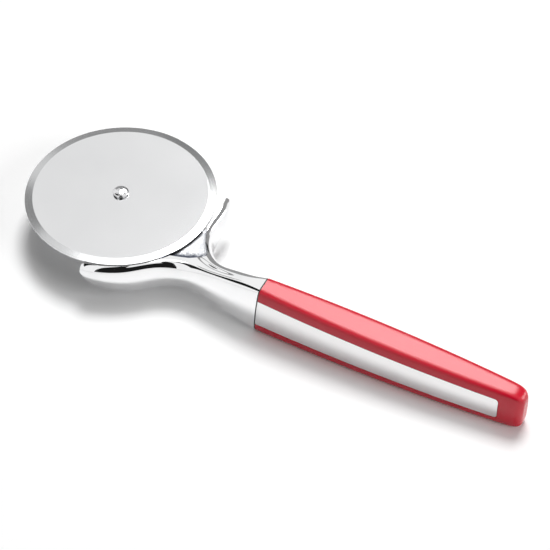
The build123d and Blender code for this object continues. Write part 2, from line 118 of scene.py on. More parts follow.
class Shader:
    """A material or world under construction, with one method for every kind of node."""

    def __init__(self, owner: Material | bpy.types.World) -> None:
        """Clears the nodes of a material or world.

        Args:
            owner: The material or world.
        """
        owner.use_nodes = True
        self.owner = owner
        self.tree = owner.node_tree
        self.tree.nodes.clear()

    @classmethod
    def named(cls, name: str) -> "Shader":
        """Starts a new material."""
        return cls(bpy.data.materials.new(name))

    def node(
        self,
        kind: str,
        settings: dict[str, Any] | None = None,
        sockets: dict[int | str, Any] | None = None,
        output: int | str = 0,
    ) -> Value:
        """Adds a node, sets it up and joins its inputs.

        Args:
            kind: Blender's type name of the node.
            settings: Properties of the node.
            sockets: Numbers, colours or values for the inputs, by name or place.
            output: The output to return.

        Returns:
            The chosen output as a value.
        """
        made = self.tree.nodes.new(kind)
        for key, setting in (settings or {}).items():
            setattr(made, key, setting)
        for key, given in (sockets or {}).items():
            if isinstance(given, Value):
                self.tree.links.new(given.socket, made.inputs[key])
            else:
                made.inputs[key].default_value = given
        return Value(self, made.outputs[output] if len(made.outputs) else None)

    def vector(self, operation: str, first: Any, second: Any = ORIGIN, output: int | str = 0) -> Value:
        """Adds one Vector Math node and returns its result."""
        return self.node("ShaderNodeVectorMath", {"operation": operation}, {0: first, 1: second}, output)

    def place(self) -> Value:
        """Position on the piece itself, in metres."""
        return self.node("ShaderNodeTexCoord", output="Object")

    def noise(
        self,
        per_metre: float = 1.0,
        detail: float = 2.0,
        stretch: Place = (1.0, 1.0, 1.0),
        at: Value | None = None,
    ) -> Value:
        """Noise between about 0 and 1.

        Args:
            per_metre: Grains per metre.
            detail: Number of finer layers.
            stretch: Factor along each axis before the noise.
            at: Position to use instead of the piece's own.

        Returns:
            The noise.
        """
        where = at or self.vector("MULTIPLY", self.place(), stretch)
        sockets = {"Vector": where, "Scale": per_metre, "Detail": detail}
        return self.node("ShaderNodeTexNoise", sockets=sockets)

    def ramp(self, value: Value, low: float, high: float) -> Value:
        """Rises from 0 to 1 while a value goes from low to high, and is level outside."""
        sockets = {"Value": value, "From Min": low, "From Max": high}
        return self.node("ShaderNodeMapRange", {"clamp": True}, sockets)

    def mix(self, share: Value | float, first: Any, second: Any) -> Value:
        """Mixes two colours, by the share of the second."""
        return self.node("ShaderNodeMix", {"data_type": "RGBA"}, {0: share, 6: first, 7: second}, output=2)

    def bump(self, height: Value, relief: float) -> Value:
        """Turns a height between 0 and 1 into a surface normal, for a relief in metres."""
        return self.node("ShaderNodeBump", sockets={"Height": height, "Distance": relief, "Strength": 1.0})

    def glow(self, strength: Value | float) -> Value:
        """White light given off by a surface."""
        return self.node("ShaderNodeEmission", sockets={"Color": WHITE, "Strength": strength})

    def looked_at(self) -> Value:
        """Tells light that the camera sees, in a mirror and through glass too, from other light.

        Returns:
            1 for the light that is seen, and 0 for other light.
        """
        rays = ("Is Camera Ray", "Is Glossy Ray", "Is Transmission Ray")
        direct, mirrored, through = (self.node("ShaderNodeLightPath", output=ray) for ray in rays)
        return direct + mirrored + through

    def surface(self, **inputs: Any) -> Material:
        """Closes the material with the standard surface.

        Args:
            inputs: Surface inputs, with underscores for spaces.

        Returns:
            The finished material.
        """
        sockets = {key.replace("_", " "): given for key, given in inputs.items()}
        return self.close(self.node("ShaderNodeBsdfPrincipled", sockets=sockets))

    def grained(self, finish: Any, colour: Value, grain: Value, height: Value, **inputs: Any) -> Material:
        """Closes the material with a finish's roughness, which a grain moves, and its relief."""
        roughness = finish.roughness + (grain - 0.5) * finish.spread
        return self.surface(
            Base_Color=colour, Roughness=roughness, Normal=self.bump(height, finish.relief), **inputs
        )

    def close(self, body: Value, output: str = "ShaderNodeOutputMaterial") -> Any:
        """Joins a surface to the output and returns the material or world."""
        self.node(output, sockets={"Surface": body})
        return self.owner


# Finishes


@dataclass(frozen=True)
class ChromePlate:
    """Bright plating over a polished casting, with faint waves and finger haze."""

    colour: Colour = (0.88, 0.88, 0.885, 1.0)
    haze_colour: Colour = (0.82, 0.825, 0.83, 1.0)
    gloss: float = 0.035
    haze: float = 0.085
    wave: float = 0.00005

    def build(self) -> Material:
        """Builds the material.

        Returns:
            The finished material.
        """
        s = Shader.named("chrome_plate")
        smudge = s.ramp(s.noise(per_metre=70.0, detail=4.0), low=0.46, high=0.72)
        waves = s.noise(per_metre=120.0, detail=1.0)
        return s.surface(
            Base_Color=s.mix(smudge, self.colour, self.haze_colour),
            Metallic=1.0,
            Roughness=self.gloss + smudge * (self.haze - self.gloss),
            Normal=s.bump(waves, self.wave),
        )


@dataclass(frozen=True)
class CastPocket:
    """Plating in the pocket, duller than outside, with painted shade: a ragged dark band along its near
    edge.

    Attributes:
        corner: A point on the edge, in metres.
        across: Direction away from the edge.
    """

    corner: Place
    across: Place
    colour: Colour = (0.86, 0.87, 0.895, 1.0)
    shade: Colour = (0.76, 0.775, 0.81, 1.0)
    # Painted shade along the pocket's near edge: its colour, the band's width and how ragged the band is
    painted_edge_shade: Colour = (0.085, 0.095, 0.125, 1.0)
    painted_shade_width: float = 0.0038
    ragged: float = 0.0044
    roughness: float = 0.22
    spread: float = 0.08
    relief: float = 0.00012

    def build(self) -> Material:
        """Builds the material.

        Returns:
            The finished material.
        """
        s = Shader.named("chrome_cast_pocket")
        lumps = s.noise(per_metre=300.0, detail=3.0)
        grain = s.noise(per_metre=2400.0)
        rags = s.noise(per_metre=900.0, detail=3.0)
        # Painted shade: the plating turns dark in a ragged band along the near edge
        away = s.vector("DOT_PRODUCT", s.vector("SUBTRACT", s.place(), self.corner), self.across, "Value")
        width = self.painted_shade_width + (rags - 0.5) * self.ragged
        beyond_painted_shade = s.ramp(away / width, low=0.65, high=1.15)
        plating = s.mix(lumps, self.shade, self.colour)
        return s.grained(self, s.mix(beyond_painted_shade, self.painted_edge_shade, plating), grain, lumps, Metallic=1.0)


@dataclass(frozen=True)
class SatinBlade:
    """Fine matt grain of the wheel's flat faces."""

    colour: Colour = (0.745, 0.747, 0.752, 1.0)
    grain_colour: Colour = (0.69, 0.693, 0.70, 1.0)
    grain_share: float = 0.6
    roughness: float = 0.12
    spread: float = 0.04
    relief: float = 0.000004

    def build(self) -> Material:
        """Builds the material.

        Returns:
            The finished material.
        """
        s = Shader.named("blade_satin")
        grain = s.noise(per_metre=2600.0, detail=3.0)
        cloud = s.noise(per_metre=26.0, detail=3.0)
        tone = s.ramp(grain * self.grain_share + cloud * (1 - self.grain_share), low=0.35, high=0.65)
        return s.grained(self, s.mix(tone, self.grain_colour, self.colour), cloud, grain, Metallic=1.0)


@dataclass(frozen=True)
class GroundEdge:
    """Ground and polished bevel of the wheel, with rings left by the stone."""

    colour: Colour = (0.67, 0.675, 0.68, 1.0)
    dark: Colour = (0.55, 0.555, 0.56, 1.0)
    roughness: float = 0.15
    spread: float = 0.12
    rings_per_metre: float = 5200.0
    breaks: Place = (60.0, 60.0, 0.0)
    relief: float = 0.000003

    def build(self) -> Material:
        """Builds the material.

        Returns:
            The finished material.
        """
        s = Shader.named("blade_ground_edge")
        where = s.place()
        radius = s.vector("LENGTH", where, output="Value")
        lines = s.node("ShaderNodeCombineXYZ", sockets={"X": radius * self.rings_per_metre})
        rings = s.noise(detail=3.0, at=s.vector("ADD", lines, s.vector("MULTIPLY", where, self.breaks)))
        return s.grained(self, s.mix(rings, self.dark, self.colour), rings, rings, Metallic=1.0)


@dataclass(frozen=True)
class BrushedPlate:
    """Steel brushed along the grip."""

    colour: Colour = (0.86, 0.86, 0.86, 1.0)
    dark: Colour = (0.74, 0.74, 0.745, 1.0)
    line_share: float = 0.7
    roughness: float = 0.22
    spread: float = 0.12
    relief: float = 0.000003

    def build(self) -> Material:
        """Builds the material.

        Returns:
            The finished material.
        """
        s = Shader.named("plate_brushed")
        lines = s.noise(detail=4.0, stretch=(45.0, 2600.0, 5200.0))
        cloud = s.noise(per_metre=55.0, detail=3.0)
        tone = lines * self.line_share + cloud * (1 - self.line_share)
        return s.grained(self, s.mix(tone, self.dark, self.colour), lines, lines, Metallic=1.0)


@dataclass(frozen=True)
class MouldedRed:
    """Half-gloss red plastic with the fine grain of its mould."""

    colour: Colour = (0.68, 0.002, 0.026, 1.0)
    deep: Colour = (0.62, 0.002, 0.021, 1.0)
    roughness: float = 0.24
    spread: float = 0.10
    relief: float = 0.000012

    def build(self) -> Material:
        """Builds the material.

        Returns:
            The finished material.
        """
        s = Shader.named("grip_red")
        grain = s.noise(per_metre=2100.0)
        cloud = s.noise(per_metre=38.0, detail=3.0)
        colour = s.mix(cloud, self.deep, self.colour)
        return s.grained(self, colour, grain, grain, IOR=1.5, Specular_IOR_Level=0.5)


class MetalKind(Enum):
    """Small turned and stamped metal parts: name, bright colour, dull colour, roughness."""

    ZINC = ("fastener_zinc", (0.70, 0.71, 0.73, 1.0), (0.56, 0.58, 0.61, 1.0), 0.24)
    RIVET = ("rivet_steel", (0.80, 0.80, 0.81, 1.0), (0.62, 0.62, 0.63, 1.0), 0.16)
    BRONZE = ("bush_bronze", (0.62, 0.42, 0.22, 1.0), (0.45, 0.28, 0.13, 1.0), 0.30)


@dataclass(frozen=True)
class SmallMetal:
    """Finish of a small metal part: tool marks round its axis and a little tarnish."""

    kind: MetalKind
    spread: float = 0.25
    relief: float = 0.000006

    def build(self) -> Material:
        """Builds the material.

        Returns:
            The finished material.
        """
        name, bright, dull, roughness = self.kind.value
        s = Shader.named(name)
        tarnish = s.noise(per_metre=420.0, detail=4.0)
        marks = s.noise(stretch=(900.0, 900.0, 9000.0))
        return s.surface(
            Base_Color=s.mix(s.ramp(tarnish, low=0.4, high=0.65), bright, dull),
            Metallic=1.0,
            Roughness=roughness + (tarnish - 0.5) * self.spread,
            Normal=s.bump(marks, self.relief),
        )


@dataclass(frozen=True)
class DarkSeal:
    """Black sealing compound with a dull skin."""

    colour: Colour = (0.018, 0.016, 0.017, 1.0)
    dust: Colour = (0.05, 0.047, 0.047, 1.0)
    roughness: float = 0.55
    spread: float = 0.3
    relief: float = 0.00001

    def build(self) -> Material:
        """Builds the material.

        Returns:
            The finished material.
        """
        s = Shader.named("seal_dark")
        grain = s.noise(per_metre=1500.0, detail=3.0)
        return s.grained(self, s.mix(grain, self.colour, self.dust), grain, grain)


@dataclass(frozen=True)
class BondingFilm:
    """Cloudy adhesive film under the side plates."""

    colour: Colour = (0.62, 0.58, 0.46, 1.0)
    streak: Colour = (0.50, 0.46, 0.35, 1.0)
    roughness: float = 0.55
    spread: float = 0.2
    relief: float = 0.00001

    def build(self) -> Material:
        """Builds the material.

        Returns:
            The finished material.
        """
        s = Shader.named("bonding_film")
        streaks = s.noise(detail=3.0, stretch=(60.0, 900.0, 700.0))
        return s.grained(self, s.mix(streaks, self.colour, self.streak), streaks, streaks)


@dataclass(frozen=True)
class GreyCap:
    """Grey moulded plastic of the cap under the axle."""

    colour: Colour = (0.20, 0.205, 0.21, 1.0)
    worn: Colour = (0.28, 0.285, 0.29, 1.0)
    roughness: float = 0.48
    spread: float = 0.2
    relief: float = 0.00001

    def build(self) -> Material:
        """Builds the material.

        Returns:
            The finished material.
        """
        s = Shader.named("cap_grey")
        grain = s.noise(per_metre=1900.0)
        scuff = s.ramp(s.noise(per_metre=240.0, detail=5.0), low=0.5, high=0.7)
        return s.grained(self, s.mix(scuff, self.colour, self.worn), grain, grain)


@dataclass(frozen=True)
class StudioFloor:
    """White floor: the eye and mirrors see it white where the light falls full, and it keeps the shadow."""

    colour: Colour = (0.86, 0.86, 0.86, 1.0)
    lift: float = 0.04

    def build(self) -> Material:
        """Builds the material.

        Returns:
            The finished material.
        """
        s = Shader.named("studio_floor")
        direct = s.looked_at()
        matt = s.node("ShaderNodeBsdfDiffuse", sockets={"Color": s.mix(direct, self.colour, WHITE)})
        return s.close(s.node("ShaderNodeAddShader", sockets={0: matt, 1: s.glow(direct * self.lift)}))


# Mesh helpers


class Joining(Enum):
    """How a second closed mesh changes the first."""

    CUT = "DIFFERENCE"
    ADD = "UNION"


class Rounded(Enum):
    """What a bevel rounds."""

    EDGES = "EDGES"
    CORNERS = "VERTICES"


def lerp(start: float, end: float, share: float) -> float:
    """Straight mix of two numbers."""
    return start + (end - start) * share


def smooth_step(share: float) -> float:
    """Eases from 0 to 1 with level ends."""
    held = min(max(share, 0.0), 1.0)
    return held * held * (3 - 2 * held)


def polar(radius: float, turn: float, height: float) -> Vector:
    """Point at a radius from the upright axis, a turn in radians from X and a height."""
    return Vector((radius * math.cos(turn), radius * math.sin(turn), height))


def new_piece(name: str, shape: Shape) -> Object:
    """Turns a bmesh into an object of the scene and frees the bmesh.

    Args:
        name: Name of the object.
        shape: The geometry.

    Returns:
        The new object.
    """
    mesh = bpy.data.meshes.new(name)
    shape.to_mesh(mesh)
    shape.free()
    piece = bpy.data.objects.new(name, mesh)
    bpy.context.scene.collection.objects.link(piece)
    return piece


def discard(piece: Object) -> None:
    """Removes a piece and its mesh.

    Args:
        piece: The piece.
    """
    mesh = piece.data
    bpy.data.objects.remove(piece)
    bpy.data.meshes.remove(mesh)


def settle(piece: Object) -> None:
    """Applies a piece's modifiers to its mesh.

    Args:
        piece: The piece.
    """
    bpy.context.view_layer.update()
    graph = bpy.context.evaluated_depsgraph_get()
    mesh = bpy.data.meshes.new_from_object(piece.evaluated_get(graph))
    old = piece.data
    piece.modifiers.clear()
    piece.data = mesh
    mesh.name = piece.name
    bpy.data.meshes.remove(old)


def subdivide(piece: Object, levels: int) -> None:
    """Rounds a control cage by subdivision and keeps the result.

    Args:
        piece: The cage.
        levels: Number of subdivisions.
    """
    modifier = piece.modifiers.new("round", "SUBSURF")
    modifier.levels = levels
    modifier.render_levels = levels
    settle(piece)


def combine(piece: Object, tool: Object, joining: Joining = Joining.CUT) -> None:
    """Cuts or joins two closed meshes and removes the second.

    Args:
        piece: The mesh that is kept.
        tool: The cutter or the part to add.
        joining: What the second mesh does to the first.
    """
    modifier = piece.modifiers.new("combine", "BOOLEAN")
    modifier.operation = joining.value
    modifier.solver = "EXACT"
    modifier.object = tool
    settle(piece)
    discard(tool)


def give_materials(piece: Object, materials: Sequence[Material]) -> None:
    """Fills a piece's material slots in order, and keeps its faces' slot numbers.

    Args:
        piece: The piece.
        materials: The materials.
    """
    slots = piece.data.materials
    for place, material in enumerate(materials):
        if place < len(slots):
            slots[place] = material
        else:
            slots.append(material)


def split_large_faces(shape: Shape) -> None:
    """Cuts faces of more than four sides into triangles."""
    bmesh.ops.triangulate(shape, faces=[face for face in shape.faces if len(face.verts) > 4])


def finish_mesh(piece: Object, materials: Sequence[Material], sharp_angle: float = SMOOTH_ANGLE) -> None:
    """Brings a mesh from millimetres to metres, shades it and gives it its materials.

    Args:
        piece: The piece to finish.
        materials: Its materials, in slot order.
        sharp_angle: Edges that turn by more than this angle stay sharp.
    """
    shape = bmesh.new()
    shape.from_mesh(piece.data)
    bmesh.ops.remove_doubles(shape, verts=shape.verts, dist=WELD)
    bmesh.ops.dissolve_degenerate(shape, edges=shape.edges, dist=WELD)
    split_large_faces(shape)
    rims = [edge for edge in shape.edges if edge.is_boundary]
    if rims:
        bmesh.ops.holes_fill(shape, edges=rims, sides=0)
        split_large_faces(shape)
        bmesh.ops.recalc_face_normals(shape, faces=shape.faces)
        LOG.info("%s: closed a slit of %d edges", piece.name, len(rims))
    limit = math.radians(sharp_angle)
    for edge in shape.edges:
        edge.smooth = len(edge.link_faces) == 2 and edge.calc_face_angle(0.0) < limit
    for face in shape.faces:
        face.smooth = True
    bmesh.ops.scale(shape, vec=(MM, MM, MM), verts=shape.verts)
    shape.to_mesh(piece.data)
    shape.free()
    give_materials(piece, materials)
    LOG.info("%s: %d faces", piece.name, len(piece.data.polygons))


def bevel(
    shape: Shape, parts: Sequence[Any], width: float, segments: int = 2, rounded: Rounded = Rounded.EDGES
) -> None:
    """Rounds edges or corners of a bmesh.

    Args:
        shape: The bmesh.
        parts: The edges or vertices to round.
        width: Distance from the old edge to the edges of the round.
        segments: Number of steps across it.
        rounded: Whether the parts are edges or vertices.
    """
    bmesh.ops.bevel(
        shape,
        geom=parts,
        offset=width,
        segments=segments,
        profile=0.5,
        affect=rounded.value,
        material=-1,
    )


def spin(shape: Shape, parts: Sequence[Any], angle: float, steps: int, full: bool = False) -> None:
    """Turns vertices and edges round the upright axis and leaves faces behind them.

    Args:
        shape: The bmesh.
        parts: The vertices and edges to turn.
        angle: How far they turn, in radians.
        steps: Number of steps on the way.
        full: Whether the end meets the start.
    """
    bmesh.ops.spin(
        shape,
        geom=parts,
        cent=ORIGIN,
        axis=UPRIGHT,
        dvec=ORIGIN,
        angle=angle,
        steps=steps,
        use_merge=full,
    )


def is_level(edge: bmesh.types.BMEdge) -> bool:
    """Whether an edge lies level."""
    return abs(edge.verts[0].co.z - edge.verts[1].co.z) < WELD


def raise_faces(shape: Shape, rise: Sequence[float]) -> Shape:
    """Gives a sheet of faces a thickness.

    Args:
        shape: The sheet.
        rise: The vector by which it is raised.

    Returns:
        The same bmesh, now closed.
    """
    raised = bmesh.ops.extrude_face_region(shape, geom=list(shape.faces))
    moved = [part for part in raised["geom"] if isinstance(part, bmesh.types.BMVert)]
    bmesh.ops.translate(shape, vec=rise, verts=moved)
    bmesh.ops.recalc_face_normals(shape, faces=shape.faces)
    return shape


def outline_sheet(
    corners: Sequence[Sequence[float]],
    rounded: Sequence[int] = (),
    radius: float = 0.0,
    steps: int = CORNER_STEPS,
) -> Shape:
    """Makes one flat face and rounds some of its corners.

    Args:
        corners: Corners of the outline.
        rounded: Which corners are rounded, by their place in the list.
        radius: Radius of the rounding.
        steps: Number of steps round each.

    Returns:
        The flat sheet.
    """
    shape = bmesh.new()
    vertices = [shape.verts.new(corner) for corner in corners]
    shape.faces.new(vertices)
    if rounded:
        bevel(shape, [vertices[place] for place in rounded], radius, steps, Rounded.CORNERS)
    return shape


def ring(shape: Shape, points: Sequence[Vector]) -> list[bmesh.types.BMEdge]:
    """Makes a closed ring of edges from a circle whose vertices go to the given points.

    Args:
        shape: The bmesh that takes the ring.
        points: Where the ring's vertices go.

    Returns:
        The ring's edges.
    """
    made = bmesh.ops.create_circle(shape, segments=len(points), radius=1.0, cap_ends=False)["verts"]
    for vertex, point in zip(made, points):
        vertex.co = point
    return list({edge for vertex in made for edge in vertex.link_edges})


def loft(sections: Sequence[Sequence[Vector]], round_end: bool = False) -> Shape:
    """Joins sections in order by faces and closes both ends.

    Args:
        sections: Control points of each section, all of the same number.
        round_end: Whether the last cap rounds off instead of staying flat and sharp.

    Returns:
        The closed control cage.
    """
    shape = bmesh.new()
    crease = shape.edges.layers.float.new("crease_edge")
    rings = [ring(shape, points) for points in sections]
    for first, second in zip(rings, rings[1:]):
        bmesh.ops.bridge_loops(shape, edges=first + second)
    for end, sharpness in ((rings[0], 1.0), (rings[-1], 0.0 if round_end else 1.0)):
        bmesh.ops.edgeloop_fill(shape, edges=end)
        for edge in end:
            edge[crease] = sharpness
    bmesh.ops.recalc_face_normals(shape, faces=shape.faces)
    return shape


def spun(profile: Sequence[Point], steps: int) -> Shape:
    """Turns a closed profile of radius and height round the upright axis.

    Args:
        profile: Radius and height of each corner, in order.
        steps: Number of steps round the axis.

    Returns:
        The turned solid.
    """
    shape = bmesh.new()
    corners = [shape.verts.new((radius, 0.0, height)) for radius, height in profile]
    edges = [shape.edges.new(pair) for pair in zip(corners, corners[1:] + corners[:1])]
    spin(shape, corners + edges, 2 * math.pi, steps, full=True)
    bmesh.ops.remove_doubles(shape, verts=shape.verts, dist=WELD)
    loose = [edge for edge in shape.edges if not edge.link_faces]
    bmesh.ops.delete(shape, geom=loose, context="EDGES")
    bmesh.ops.recalc_face_normals(shape, faces=shape.faces)
    return shape


def cross_pin(name: str, x: float, height: float, radius: float, length: float, steps: int) -> Object:
    """Cuts a round pin that lies across the grip.

    Args:
        name: Name of the pin.
        x: Its distance along the grip.
        height: Height of its axis.
        radius: Its radius.
        length: Its length.
        steps: Number of sides.

    Returns:
        The pin.
    """
    shape = bmesh.new()
    turn = Matrix.Translation((x, GRIP_Y, height)) @ Matrix.Rotation(math.pi / 2, 4, "X")
    bmesh.ops.create_cone(
        shape, cap_ends=True, segments=steps, radius1=radius, radius2=radius, depth=length, matrix=turn
    )
    return new_piece(name, shape)


# Wheel and axle


@dataclass
class CuttingWheel:
    """The steel wheel with its ground bevels."""

    radius: float = 40.0
    bore_radius: float = 3.08
    underside: float = 18.5
    top: float = 20.0
    bevel_width: float = 3.2
    edge_thickness: float = 0.5
    shoulder_round: float = 0.22
    rim_round: float = 0.12
    sharp_angle: float = 2.0
    steps: int = 288

    def build(self) -> Object:
        """Builds the wheel.

        Returns:
            The wheel with satin faces and polished bevels.
        """
        middle = (self.top + self.underside) / 2
        half_edge = self.edge_thickness / 2
        shoulder = self.radius - self.bevel_width
        profile = (
            (self.bore_radius, self.underside),
            (shoulder, self.underside),
            (self.radius, middle - half_edge),
            (self.radius, middle + half_edge),
            (shoulder, self.top),
            (self.bore_radius, self.top),
        )
        shape = spun(profile, self.steps)
        for target, width in ((shoulder, self.shoulder_round), (self.radius, self.rim_round)):
            edges = [
                edge
                for edge in shape.edges
                if is_level(edge) and all(abs(vertex.co.xy.length - target) < WELD for vertex in edge.verts)
            ]
            bevel(shape, edges, width)
        for face in shape.faces:
            if face.calc_center_median().xy.length > shoulder - self.shoulder_round:
                face.material_index = 1
        piece = new_piece("wheel_blade", shape)
        finish_mesh(piece, [SatinBlade().build(), GroundEdge().build()], self.sharp_angle)
        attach(piece, "wheel")
        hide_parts("cutting_wheel")
        return piece


@dataclass
class AxleRivet:
    """The rivet that holds the wheel, its head slightly uneven from the peening."""

    shank_radius: float = 1.5
    dome_radius: float = 3.3
    dome_base: float = 20.42
    dome_height: float = 1.7
    lip: float = 0.35
    tail_radius: float = 2.5
    tail_flat: float = 2.0
    tail_underside: float = 7.48
    tail_chamfer: float = 0.3
    tail_height: float = 1.0
    dome_points: int = 9
    # The peening: its depth, the share of the dome that it reaches, and its broad and narrow waves
    dent: float = 0.09
    dent_reach: float = 0.96
    dent_sink: float = 1.2
    broad_waves: int = 3
    broad_turn: float = 0.7
    broad_pitch: float = 2.3
    narrow_waves: int = 5
    narrow_pitch: float = 2.0
    narrow_share: float = 0.6
    steps: int = 48

    def build(self) -> Object:
        """Builds the rivet.

        Returns:
            The rivet.
        """
        rim = self.dome_base + self.lip
        arc = [
            (self.dome_radius * math.cos(turn), rim + (self.dome_height - self.lip) * math.sin(turn))
            for turn in (math.radians(90 * place / self.dome_points) for place in range(self.dome_points))
        ]
        tail_top = self.tail_underside + self.tail_height
        profile = (
            (0.0, self.tail_underside),
            (self.tail_flat, self.tail_underside),
            (self.tail_radius, self.tail_underside + self.tail_chamfer),
            (self.tail_radius, tail_top),
            (self.shank_radius, tail_top),
            (self.shank_radius, self.dome_base),
            (self.dome_radius, self.dome_base),
            *arc,
            (0.0, self.dome_base + self.dome_height),
        )
        shape = spun(profile, self.steps)
        for vertex in shape.verts:
            if vertex.co.z > rim and vertex.co.xy.length < self.dome_radius * self.dent_reach:
                vertex.co.z += self._unevenness(vertex.co)
        piece = new_piece("rivet", shape)
        finish_mesh(piece, [SmallMetal(MetalKind.RIVET).build()])
        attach(piece, "frame")
        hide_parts("axle_rivet")
        return piece

    def _unevenness(self, point: Vector) -> float:
        """How far the peening moved a point of the dome.

        Args:
            point: The point on the even dome.

        Returns:
            The move upwards, mostly below zero, and none at the middle and the rim.
        """
        flat = point.xy.length
        turn = math.atan2(point.y, point.x)
        broad = math.sin(self.broad_waves * turn + self.broad_turn) * math.sin(flat * self.broad_pitch)
        narrow = self.narrow_share * math.sin(self.narrow_waves * turn + flat * self.narrow_pitch)
        return self.dent * (broad + narrow - self.dent_sink) * math.sin(math.pi * flat / self.dome_radius)


# Cross-sections shared by the head and the grip


@dataclass(frozen=True)
class Profile:
    """Cross profile of one side of a section.

    Attributes:
        rows: Distance in from the widest point, and share of the height, from the top to the underside.
    """

    rows: tuple[Point, ...]

    def mixed(self, other: "Profile", share: float) -> "Profile":
        """The profile part of the way to another one with as many rows."""
        pairs = zip(self.rows, other.rows)
        return Profile(tuple((lerp(a[0], b[0], share), lerp(a[1], b[1], share)) for a, b in pairs))


BARREL = Profile((
    (4.10, 1.0), (2.45, 1.0), (1.15, 0.968), (0.62, 0.862), (0.26, 0.690), (0.00, 0.500),
    (0.26, 0.310), (0.62, 0.138), (1.15, 0.032), (2.45, 0.0), (4.10, 0.0),
))
WING = Profile((
    (7.00, 1.0), (4.60, 1.0), (2.90, 0.985), (1.30, 0.895), (0.30, 0.740), (0.00, 0.580),
    (0.35, 0.440), (1.40, 0.210), (2.30, 0.055), (3.40, 0.0), (7.00, 0.0),
))
NEAR_NECK = Profile((
    (4.60, 1.0), (3.20, 1.0), (1.65, 0.966), (0.72, 0.880), (0.24, 0.700), (0.00, 0.520),
    (0.26, 0.340), (0.62, 0.160), (1.15, 0.036), (2.45, 0.0), (4.10, 0.0),
))
FAR_NECK = Profile((
    (6.50, 1.0), (5.00, 0.991), (3.30, 0.970), (1.90, 0.930), (0.70, 0.830), (0.00, 0.600),
    (0.10, 0.360), (0.55, 0.150), (1.15, 0.032), (2.45, 0.0), (4.10, 0.0),
))
FAR_EDGE = Profile((
    (7.00, 1.0), (3.40, 1.0), (2.60, 0.986), (1.60, 0.946), (0.70, 0.880), (0.10, 0.770),
    (0.00, 0.500), (0.20, 0.220), (0.80, 0.050), (2.10, 0.0), (7.00, 0.0),
))
LARGEST_INWARD_SHARE = 0.86


@dataclass(frozen=True)
class Side:
    """One side of a section: its widest point in plan, its top and its underside."""

    x: float
    y: float
    top: float
    underside: float

    def points(self, centre: Vector, profile: Profile, lean: float) -> list[Vector]:
        """Control points of the side, from the top to the underside.

        Args:
            centre: The section's middle in plan.
            profile: The side's cross profile, narrowed where the side is narrow.
            lean: Distance along X per millimetre of height.

        Returns:
            The points.
        """
        reach = Vector((self.x, self.y)) - centre
        width = reach.length
        outward = reach / width
        narrowing = min(1.0, LARGEST_INWARD_SHARE * width / max(inward for inward, _ in profile.rows))
        points = []
        for inward, share in profile.rows:
            height = lerp(self.underside, self.top, share)
            flat = centre + outward * (width - inward * narrowing)
            points.append(Vector((flat.x + lean * (height - JOINT_MIDDLE), flat.y, height)))
        return points


def section(
    centre: Vector, sides: tuple[Side, Side], profiles: tuple[Profile, Profile], lean: float = 0.0
) -> list[Vector]:
    """Control points of one whole section, round from the top middle.

    Args:
        centre: The section's middle in plan.
        sides: The near side and the far side.
        profiles: Cross profile of each side.
        lean: Distance along X per millimetre of height.

    Returns:
        The ring of points.
    """
    top, underside = (
        Vector((centre.x + lean * (height - JOINT_MIDDLE), centre.y, height))
        for height in (sum(side.top for side in sides) / 2, sum(side.underside for side in sides) / 2)
    )
    near, far = (side.points(centre, profile, lean) for side, profile in zip(sides, profiles))
    return [top, *near, underside, *reversed(far)]


# Head


